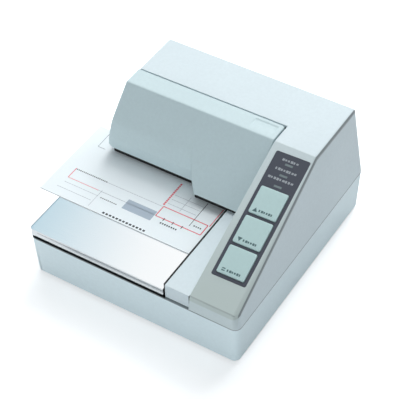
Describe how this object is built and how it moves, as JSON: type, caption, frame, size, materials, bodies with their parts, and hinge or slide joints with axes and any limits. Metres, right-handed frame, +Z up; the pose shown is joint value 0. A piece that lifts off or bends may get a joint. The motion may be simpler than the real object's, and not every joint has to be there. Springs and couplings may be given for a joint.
{
  "type": "slip printer",
  "caption": "Compact flat-bed receipt and slip printer with a sloping key panel, a steel paper table and a hinged ribbon cover over a needle-head print mechanism.",
  "frame": {"origin": "on the surface that the feet stand on, under the middle of the printer and its paper slip together", "axes": "+X to the printer's right, +Y to its back, +Z up"},
  "size_m": [0.1984, 0.1906, 0.1015],
  "materials": {
    "case_grey": "fine-textured moulded ABS, pale cool grey",
    "cover_grey": "fine-textured moulded ABS, pale blue-green grey",
    "key_grey": "satin moulded keys, grey-green",
    "stainless": "bright stainless sheet",
    "zinc": "zinc-plated sheet steel",
    "steel": "ground steel shaft",
    "black_plastic": "black moulded plastic",
    "label": "dark grey printed film",
    "lens": "translucent lamp windows",
    "pcb": "green circuit board",
    "rubber": "black rubber",
    "motor": "plated motor cans",
    "brass": "brass pinions",
    "white_plastic": "natural acetal",
    "cassette": "black ribbon cassette",
    "ribbon_ink": "inked fabric ribbon",
    "paper": "thin white form paper",
    "cable": "white flat cable",
    "grey_rubber": "dark grey rubber rollers"
  },
  "bodies": {
    "case": {"lower_case": "case_grey", "upper_case": "case_grey", "slip_table": "stainless", "table_strip": "case_grey", "slip_guide": "black_plastic", "panel_label": "label", "indicator_lenses": "lens", "panel_board": "pcb", "panel_switches": "black_plastic", "rubber_feet": "rubber", "case_screws": "zinc", "switch_hatch": "case_grey", "connector_plate": "zinc", "interface_connector": "zinc", "jackscrews": "zinc", "power_inlet": "black_plastic", "drawer_jack": "black_plastic", "power_switch": "black_plastic", "ground_screw": "zinc", "main_board": "pcb", "board_parts": "black_plastic", "left_plate": "zinc", "right_plate": "zinc", "rear_plate": "zinc", "base_plate": "zinc", "paper_guide": "black_plastic", "platen": "grey_rubber", "carriage_shaft": "steel", "guide_rail": "steel", "head_cable": "cable", "carriage_motor": "motor", "timing_belt": "rubber", "ribbon_cassette": "cassette", "ribbon": "ribbon_ink", "feed_motor": "motor", "gear_bracket": "zinc", "release_solenoid": "motor"},
    "cover": {"ribbon_cover": "cover_grey"},
    "forward_key": {"forward_key": "key_grey"},
    "reverse_key": {"reverse_key": "key_grey"},
    "release_key": {"release_key": "key_grey"},
    "rocker": {"power_rocker": "black_plastic"},
    "carriage": {"carriage": "black_plastic", "print_head": "motor"},
    "drive_pulley": {"drive_pulley": "brass"},
    "idler_pulley": {"idler_pulley": "white_plastic"},
    "ribbon_knob": {"ribbon_knob": "white_plastic"},
    "front_feed": {"front_feed_shaft": "steel", "front_feed_rollers": "rubber"},
    "rear_feed": {"rear_feed_shaft": "steel", "rear_feed_rollers": "rubber"},
    "feed_idler": {"feed_idler": "white_plastic"},
    "motor_pinion": {"motor_pinion": "brass"},
    "pressure_frame": {"pressure_frame": "zinc"},
    "front_pressure": {"front_pressure_rollers": "grey_rubber"},
    "rear_pressure": {"rear_pressure_rollers": "grey_rubber"},
    "plunger": {"solenoid_plunger": "steel"},
    "stopper": {"form_stopper": "black_plastic"},
    "slip": {"paper_slip": "paper"}
  },
  "joints": [
    {"name": "cover_hinge", "type": "hinge", "parent": "case", "child": "cover", "pos_m": [0.00915, 0.05615, 0.0955], "axis": [-1, 0, 0], "range_deg": [0, 80]},
    {"name": "forward_key_press", "type": "slide", "parent": "case", "child": "forward_key", "axis": [0, 0.3775, -0.926], "range_m": [0, 0.0008], "stiffness_N_per_m": 400, "springref_m": -0.0006},
    {"name": "reverse_key_press", "type": "slide", "parent": "case", "child": "reverse_key", "axis": [0, 0.3775, -0.926], "range_m": [0, 0.0008], "stiffness_N_per_m": 400, "springref_m": -0.0006},
    {"name": "release_key_press", "type": "slide", "parent": "case", "child": "release_key", "axis": [0, 0.3775, -0.926], "range_m": [0, 0.0008], "stiffness_N_per_m": 400, "springref_m": -0.0006},
    {"name": "power_rocker_tilt", "type": "hinge", "parent": "case", "child": "rocker", "pos_m": [0.05862, 0.08605, 0.0232], "axis": [-1, 0, 0], "range_deg": [0, 18]},
    {"name": "carriage_slide", "type": "slide", "parent": "case", "child": "carriage", "axis": [1, 0, 0], "range_m": [0, 0.062]},
    {"name": "drive_pulley_spin", "type": "hinge", "parent": "case", "child": "drive_pulley", "pos_m": [0.02515, 0.05, 0.0625], "axis": [0, 1, 0], "range_deg": [-5, 705]},
    {"name": "idler_pulley_spin", "type": "hinge", "parent": "case", "child": "idler_pulley", "pos_m": [-0.06085, 0.05, 0.0625], "axis": [0, 1, 0], "range_deg": [-5, 705]},
    {"name": "ribbon_knob_turn", "type": "hinge", "parent": "case", "child": "ribbon_knob", "pos_m": [-0.04085, 0.03508, 0.092], "axis": [0, 0, 1], "continuous": true},
    {"name": "front_feed_spin", "type": "hinge", "parent": "case", "child": "front_feed", "pos_m": [0.00915, 0.0135, 0.0408], "axis": [1, 0, 0], "range_deg": [-286.48, 95.49]},
    {"name": "rear_feed_spin", "type": "hinge", "parent": "case", "child": "rear_feed", "pos_m": [0.00915, 0.034, 0.0408], "axis": [1, 0, 0], "range_deg": [-286.6, 95.6]},
    {"name": "feed_idler_spin", "type": "hinge", "parent": "case", "child": "feed_idler", "pos_m": [0.00915, 0.02375, 0.03201], "axis": [1, 0, 0], "range_deg": [-95.6, 286.6]},
    {"name": "motor_pinion_spin", "type": "hinge", "parent": "case", "child": "motor_pinion", "pos_m": [0.00915, 0.03418, 0.0278], "axis": [1, 0, 0], "range_deg": [-429.9, 143.4]},
    {"name": "slip_feed", "type": "slide", "parent": "case", "child": "slip", "axis": [0, 1, 0], "range_m": [-0.0101, 0.0301]},
    {"name": "pressure_release", "type": "hinge", "parent": "case", "child": "pressure_frame", "pos_m": [0.00915, 0.046, 0.054], "axis": [-1, 0, 0], "range_deg": [0, 3.5]},
    {"name": "front_pressure_spin", "type": "hinge", "parent": "pressure_frame", "child": "front_pressure", "pos_m": [0.00915, 0.0135, 0.0516], "axis": [1, 0, 0], "range_deg": [-127.5, 382.1]},
    {"name": "rear_pressure_spin", "type": "hinge", "parent": "pressure_frame", "child": "rear_pressure", "pos_m": [0.00915, 0.034, 0.0516], "axis": [1, 0, 0], "range_deg": [-127.5, 382.1]},
    {"name": "plunger_pull", "type": "slide", "parent": "case", "child": "plunger", "axis": [0, 0, -1], "range_m": [0, 0.0012]},
    {"name": "stopper_turn", "type": "hinge", "parent": "case", "child": "stopper", "pos_m": [0.00915, 0.06, 0.0413], "axis": [-1, 0, 0], "range_deg": [0, 56.5]}
  ],
  "couplings": [
    {"joint": "drive_pulley_spin", "follows": "carriage_slide", "rad_per_m": 196.08},
    {"joint": "idler_pulley_spin", "follows": "carriage_slide", "rad_per_m": 196.08},
    {"joint": "rear_feed_spin", "follows": "front_feed_spin", "ratio": 1},
    {"joint": "feed_idler_spin", "follows": "front_feed_spin", "ratio": -1},
    {"joint": "motor_pinion_spin", "follows": "front_feed_spin", "ratio": 1.5},
    {"joint": "slip_feed", "follows": "front_feed_spin", "m_per_rad": -0.006},
    {"joint": "front_pressure_spin", "follows": "front_feed_spin", "ratio": -1.3333},
    {"joint": "rear_pressure_spin", "follows": "front_feed_spin", "ratio": -1.3333},
    {"joint": "plunger_pull", "follows": "pressure_release", "m_per_rad": 0.016},
    {"joint": "stopper_turn", "follows": "pressure_release", "ratio": 16}
  ]
}
